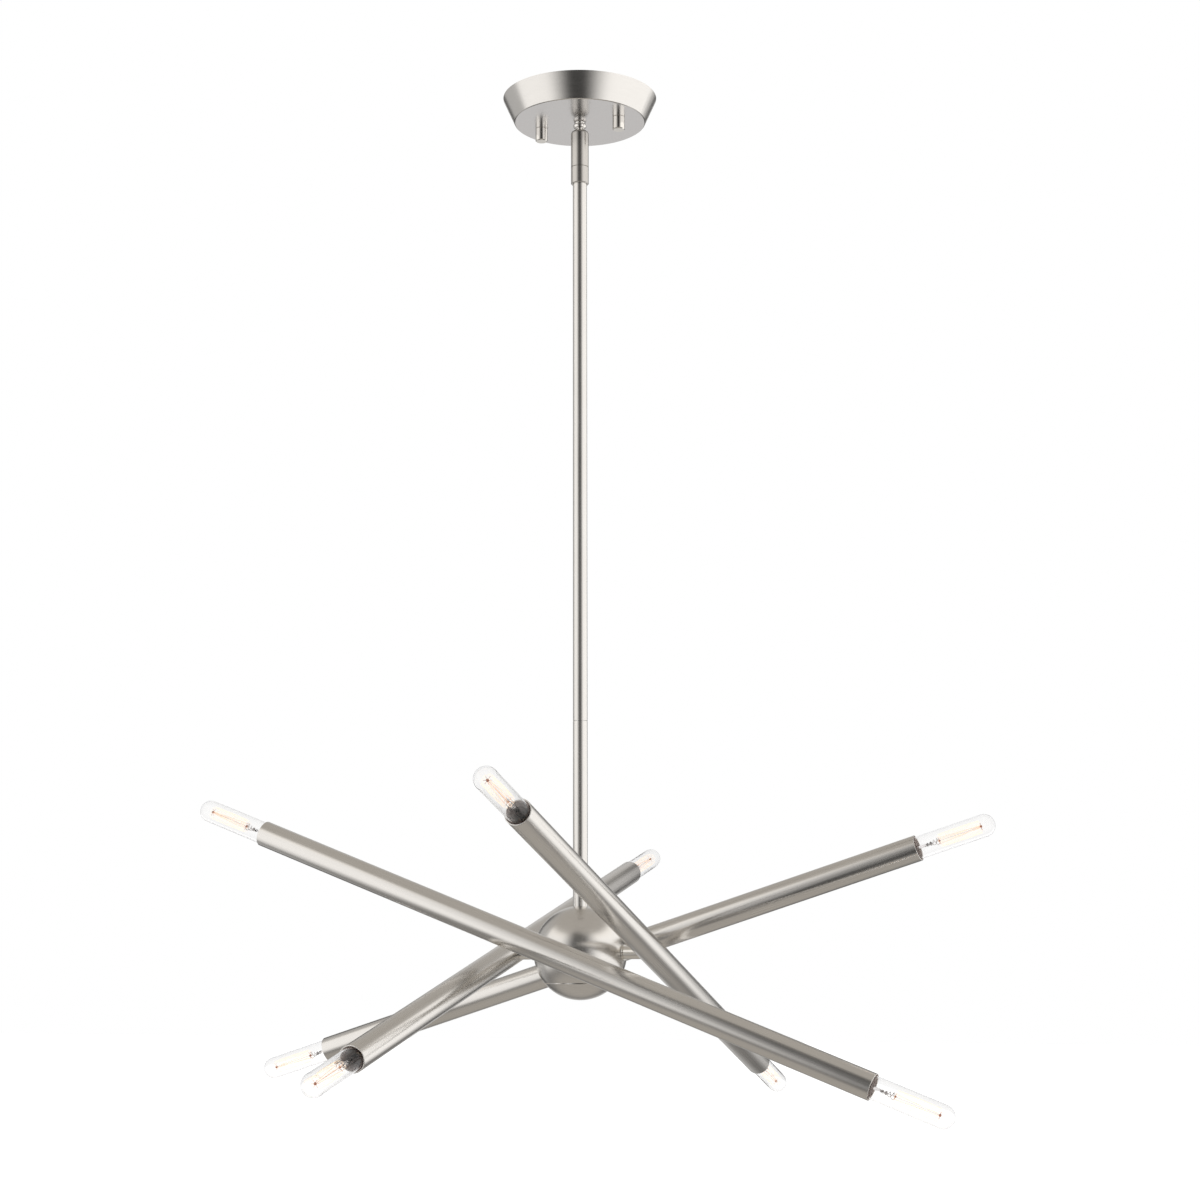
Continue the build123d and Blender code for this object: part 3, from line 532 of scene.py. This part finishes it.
# %% CAD finishes
ARM_NODES = {
    "tube": "brushed_nickel", "post": "bright_steel", "post_nut": "zinc_steel",
    "lamp_sockets": "socket_moulding", "socket_shells": "brass",
    "bulb_bases": "bulb_base_metal", "bulb_glasses": "bulb_glass", "bulb_filaments": "strand",
}
NODE_FINISH = {
    "canopy": "spun_nickel", "canopy_cap_nuts": "bright_steel",
    "mounting_bracket": "zinc_steel", "canopy_studs": "zinc_steel",
    "stud_lock_nuts": "zinc_steel", "ground_screw": "ground_green",
    "canopy_lock_washer": "zinc_steel", "canopy_lock_nut": "zinc_steel",
    "swivel_neck": "bright_steel", "swivel_ball_stud": "bright_steel",
    "swivel_socket": "swivel_nickel", "swivel_seat_ring": "brass",
    "stem_stop_screw": "zinc_steel", "stem_coupling": "swivel_nickel",
    "stem_nipple": "zinc_steel", "upper_rod": "brushed_nickel",
    "rod_joiner": "zinc_steel", "lower_rod": "brushed_nickel",
    "hub_nipple": "zinc_steel", "hub_washer": "zinc_steel", "hub_nut": "zinc_steel",
    "hub_body": "nickel_ball", "hub_cap": "nickel_ball",
}
for arm in ARMS:
    for kind, finish in ARM_NODES.items():
        NODE_FINISH[f"{arm}_{kind}"] = finish
for name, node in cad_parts.items():
    node.data.materials.clear()
    node.data.materials.append(FINISHES[NODE_FINISH[name]])
FACE_HEIGHT = -22.7 * MM
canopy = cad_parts["canopy"]
canopy.data.materials.append(FINISHES["satin_face"])
flat = 0
for face in canopy.data.polygons:
    if face.normal.z < -0.99 and abs(face.center.z - FACE_HEIGHT) < 0.1 * MM:
        face.material_index = 1
        flat += 1
print("finished", len(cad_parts), "CAD nodes,", flat, "faces of the canopy are satin")

# %% [markdown]
# ## The swivel's neck
# Between the canopy and the sleeve shows a short polished neck, turned as a round bead
# with a fine shoulder above and below it. It is small, but its glints are what tells the
# eye that the light can swing there, so it gets its own turned piece.

# %% Neck
NECK_TOP = FACE_HEIGHT
NECK_LOW = -28.7 * MM
NECK_WIDEST = 5.9 * MM
NECK_SHOULDER = 4.4 * MM
SHOULDER_HEIGHT = 0.4 * MM
middle = (NECK_TOP + NECK_LOW) / 2
bulge = (NECK_TOP - NECK_LOW) / 2 - 0.5 * MM
section = [(0, NECK_LOW), (NECK_SHOULDER - 0.2 * MM, NECK_LOW)]
section += [(NECK_SHOULDER, NECK_LOW + SHOULDER_HEIGHT)]
section += arc(NECK_WIDEST - bulge, middle, bulge, -68, 68, 10)
section += [(NECK_SHOULDER, NECK_TOP - SHOULDER_HEIGHT)]
section += [(NECK_SHOULDER + 0.2 * MM, NECK_TOP), (0, NECK_TOP)]
bm = bmesh.new()
turned(bm, section, 48)
neck_mesh = finished_mesh("neck", bm, 30)
neck_mesh.materials.append(FINISHES["polished_steel"])
neck = linked("swivel_neck_bead", neck_mesh)
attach(neck, "ceiling_mount")
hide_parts("swivel_neck")
neck_high, neck_wide = (NECK_TOP - NECK_LOW) / MM, 2 * NECK_WIDEST / MM
print("neck, mm:", round(neck_high, 1), "high,", round(neck_wide, 1), "wide")

# %% [markdown]
# ## The tubes
# Each tube is drawn steel, cut square and deburred, so its rim is a thin bright ring
# with rounded edges. The CAD tube is right but coarse round its mouth, where one looks
# straight in, so a finer tube with rolled edges stands for it. Inside it is unplated and
# dull.

# %% Tubes
TUBE_RADIUS = 11.1 * MM
TUBE_WALL = 0.9 * MM
RIM_ROUND = 0.32 * MM
half = TUBE_LENGTH / 2
inner = TUBE_RADIUS - TUBE_WALL
outer_rim, inner_rim = TUBE_RADIUS - RIM_ROUND, inner + RIM_ROUND
section = arc(outer_rim, half - RIM_ROUND, RIM_ROUND, 0, 90, 4)
section += arc(inner_rim, half - RIM_ROUND, RIM_ROUND, 90, 180, 4)
section += arc(inner_rim, RIM_ROUND - half, RIM_ROUND, 180, 270, 4)
section += arc(outer_rim, RIM_ROUND - half, RIM_ROUND, 270, 360, 4)
bm = bmesh.new()
turned(bm, section, 72, closed=True)
tube_mesh = finished_mesh("tube", bm)
tube_mesh.materials.append(FINISHES["tube_nickel"])
tube_mesh.materials.append(FINISHES["tube_inside"])
for face in tube_mesh.polygons:
    x, y, z = face.center
    if sqrt(x * x + y * y) < inner + 0.02 * MM and abs(z) < half - RIM_ROUND:
        face.material_index = 1
for arm, (azimuth, tilt) in ARMS.items():
    tube = linked(f"{arm}_tube_fine", tube_mesh, arm_place(azimuth, tilt, 0, 90))
    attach(tube, f"{arm}_arm")
    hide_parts(f"{arm}_tube")
print("tubes with", len(tube_mesh.polygons), "faces each")

# %% [markdown]
# ## The bulb's glass
# A tubular bulb is blown from tubing: a straight wall, a round tip, and a neck drawn in
# where the base is cemented on. Its wall has two surfaces, as real glass does, because
# the bright line inside the outline is the inner one. Heights are from the tube's end.

# %% Glass
BULB_RADIUS = 9.5 * MM
BULB_REACH = 68.5 * MM
GLASS_WALL = 0.8 * MM
NECK_RADIUS = 5.2 * MM
BASE_RIM = -26.0 * MM
SHOULDER = -20.0 * MM
SHOULDER_ROUND = 3.0 * MM
DOME_CENTRE = BULB_REACH - BULB_RADIUS
shoulder_in = BULB_RADIUS - SHOULDER_ROUND
outside = [(NECK_RADIUS, BASE_RIM)]
outside += arc(shoulder_in, SHOULDER + 0.2 * MM, SHOULDER_ROUND, -50, 0, 6)
outside += [(BULB_RADIUS, DOME_CENTRE - 20 * MM)]
outside += arc(0, DOME_CENTRE, BULB_RADIUS, 0, 88, 16) + [(0, BULB_REACH)]
inside = [(0, BULB_REACH - GLASS_WALL)]
inside += arc(0, DOME_CENTRE, BULB_RADIUS - GLASS_WALL, 88, 0, 16)
inside += arc(shoulder_in, SHOULDER + 1.0 * MM, SHOULDER_ROUND - GLASS_WALL, 0, -50, 6)
inside += [(NECK_RADIUS - GLASS_WALL, BASE_RIM)]
bm = bmesh.new()
turned(bm, outside + inside, 56, closed=True)
bmesh.ops.dissolve_degenerate(bm, dist=1e-7, edges=bm.edges)
glass_mesh = finished_mesh("bulb_glass", bm, 60)
glass_mesh.materials.append(FINISHES["bulb_glass"])
print("glass faces", len(glass_mesh.polygons))

# %% [markdown]
# ## Inside the bulb
# A glass stem, pressed flat at its end, carries two lead wires that twist round each
# other and open out to a small star. A thin glass rod goes on to a second star near the
# tip. All of it is thin and round, so wires are made by carrying a small ring along a
# line, and beads by turning a rounded section.

# %% Wires and beads
def wire(bm, points, radius, sides=5):
    """A round wire through the points, closed at both ends."""
    rings = []
    for index, point in enumerate(points):
        before = points[max(index - 1, 0)]
        after = points[min(index + 1, len(points) - 1)]
        along = (after - before).normalized()
        across = along.orthogonal().normalized()
        if rings:
            across = (last_across - along * last_across.dot(along)).normalized()
        last_across = across
        other = along.cross(across)
        angles = [2 * pi * step / sides for step in range(sides)]
        spokes = [across * cos(a) + other * sin(a) for a in angles]
        rings.append([bm.verts.new(point + radius * spoke) for spoke in spokes])
    for low, high in zip(rings, rings[1:]):
        for step in range(sides):
            after = (step + 1) % sides
            bm.faces.new((low[step], low[after], high[after], high[step]))
    bm.faces.new(rings[0])
    bm.faces.new(rings[-1])


def bead(bm, radius, low, high):
    """A rounded bead on the bulb's axis."""
    edge = min(radius * 0.5, (high - low) * 0.45)
    section = [(0, low)] + arc(radius - edge, low + edge, edge, -90, 0, 4)
    section += arc(radius - edge, high - edge, edge, 0, 90, 4) + [(0, high)]
    turned(bm, section, 16)


def outward(angle):
    """The direction away from the bulb's axis at an angle."""
    return Vector((cos(angle), sin(angle), 0))


UP = Vector((0, 0, 1))
BEAD_HEIGHT = 6.0 * MM
LOWER_STAR = 19.0 * MM
UPPER_STAR = 56.5 * MM
STAR_RADIUS = 5.3 * MM
print("cage, mm:", round((UPPER_STAR - LOWER_STAR) / MM, 1), "long")

# %% Stem
STEM_SECTION = [
    (0, -25.8), (4.2, -25.8), (3.4, -21.0), (2.1, -15.0), (1.9, 1.0),
    (2.3, 4.0), (2.1, 8.0), (0.6, 9.2), (0, 9.4),
]
PRESSED_WIDE, PRESSED_THIN = 1.35, 0.55
bm = bmesh.new()
turned(bm, [(radius * MM, height * MM) for radius, height in STEM_SECTION], 20)
for point in bm.verts:
    if point.co.z > 2.0 * MM:
        point.co.x *= PRESSED_WIDE
        point.co.y *= PRESSED_THIN
wire(bm, [UP * 9.0 * MM, UP * UPPER_STAR], 0.32 * MM, 8)
stem_mesh = finished_mesh("bulb_stem", bm)
stem_mesh.materials.append(FINISHES["stem_glass"])
print("stem faces", len(stem_mesh.polygons))

# %% Bead and lead wires
LEAD_TURNS = 2
LEAD_STEPS = 48
LEAD_IN, LEAD_OUT = 1.2, 2.2
bm = bmesh.new()
bead(bm, 1.5 * MM, BEAD_HEIGHT + 4.4 * MM, BEAD_HEIGHT + 6.0 * MM)
bead_mesh = finished_mesh("bulb_bead", bm)
bead_mesh.materials.append(FINISHES["bead"])

bm = bmesh.new()
twist_low, twist_high = BEAD_HEIGHT + 1.0 * MM, LOWER_STAR - 0.3 * MM
for phase in (0, pi):
    points = []
    for step in range(LEAD_STEPS + 1):
        t = step / LEAD_STEPS
        out = outward(phase + t * LEAD_TURNS * 2 * pi) * (LEAD_IN + LEAD_OUT * t * t) * MM
        points.append(out + UP * (twist_low + (twist_high - twist_low) * t))
    wire(bm, points, 0.30 * MM)
leads_mesh = finished_mesh("bulb_leads", bm)
leads_mesh.materials.append(FINISHES["lead_wire"])
print("lead wires with", len(leads_mesh.polygons), "faces")

# %% [markdown]
# ## Stars and strands
# Each star is a bead with six short spokes. Pale strands run up and down between the two
# stars, side by side, joined by turns at the top and the bottom into one long filament.
# Four warmer ones lean in to the upper star, as in the first carbon lamps.

# %% Stars
SPOKES = 6
bm = bmesh.new()
bead(bm, 1.0 * MM, LOWER_STAR - 0.8 * MM, LOWER_STAR + 0.8 * MM)
bead(bm, 1.1 * MM, UPPER_STAR - 0.9 * MM, UPPER_STAR + 0.9 * MM)
for step in range(SPOKES):
    out = outward(2 * pi * step / SPOKES)
    for height in (LOWER_STAR, UPPER_STAR):
        spoke = [out * reach + UP * height for reach in (0.6 * MM, STAR_RADIUS - 1.6 * MM)]
        wire(bm, spoke, 0.12 * MM, 4)
star_mesh = finished_mesh("bulb_stars", bm)
star_mesh.materials.append(FINISHES["support"])
print("stars with", 2 * SPOKES, "spokes")

# %% Strands
STRANDS = 18
STRAND_STEPS = 8
STRAND_BELLY = 0.35 * MM
STRAND_RADIUS = 0.11 * MM
WARM_STRANDS = 4
bm = bmesh.new()
low_at, high_at = LOWER_STAR + 0.6 * MM, UPPER_STAR - 0.6 * MM
for step in range(STRANDS):
    out = outward(2 * pi * step / STRANDS)
    out_after = outward(2 * pi * (step + 1) / STRANDS)
    points = []
    for piece in range(STRAND_STEPS + 1):
        t = piece / STRAND_STEPS
        belly = STAR_RADIUS + STRAND_BELLY * sin(pi * t)
        points.append(out * belly + UP * (low_at + (high_at - low_at) * t))
    wire(bm, points, STRAND_RADIUS, 4)
    joined = high_at if step % 2 == 0 else low_at
    wire(bm, [side * STAR_RADIUS + UP * joined for side in (out, out_after)], STRAND_RADIUS, 4)
strand_mesh = finished_mesh("bulb_strands", bm)
strand_mesh.materials.append(FINISHES["strand"])

bm = bmesh.new()
for step in range(WARM_STRANDS):
    out = outward(2 * pi * (step + 0.4) / WARM_STRANDS)
    leaning = [out * 2.9 * MM + UP * LOWER_STAR, out * 0.9 * MM + UP * UPPER_STAR]
    wire(bm, leaning, 0.17 * MM, 4)
warm_mesh = finished_mesh("bulb_warm_strands", bm)
warm_mesh.materials.append(FINISHES["warm_strand"])
print("strand faces", len(strand_mesh.polygons))

# %% [markdown]
# ## The bulbs in their places
# One set of meshes serves for all eight bulbs. Each bulb rides with its arm, and its
# pieces stand for that arm's CAD glass and filament.

# %% Bulbs
BULB_PIECES = {
    "glass": (glass_mesh, "bulb_glasses", "bulb_glass"),
    "stem": (stem_mesh, "bulb_filaments", "bulb_glass"),
    "bead": (bead_mesh, "bulb_filaments", "filament"),
    "leads": (leads_mesh, "bulb_filaments", "filament"),
    "stars": (star_mesh, "bulb_filaments", "filament"),
    "strands": (strand_mesh, "bulb_filaments", "filament"),
    "warm_strands": (warm_mesh, "bulb_filaments", "filament"),
}
for arm, (azimuth, tilt) in ARMS.items():
    for end, (along, flip) in ENDS.items():
        place = arm_place(azimuth, tilt, along, flip)
        for kind, (mesh, node, slot) in BULB_PIECES.items():
            piece = linked(f"{arm}_{end}_{kind}", mesh, place)
            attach(piece, f"{arm}_arm")
            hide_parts(f"{arm}_{node}")
print("bulbs", len(ARMS) * len(ENDS))
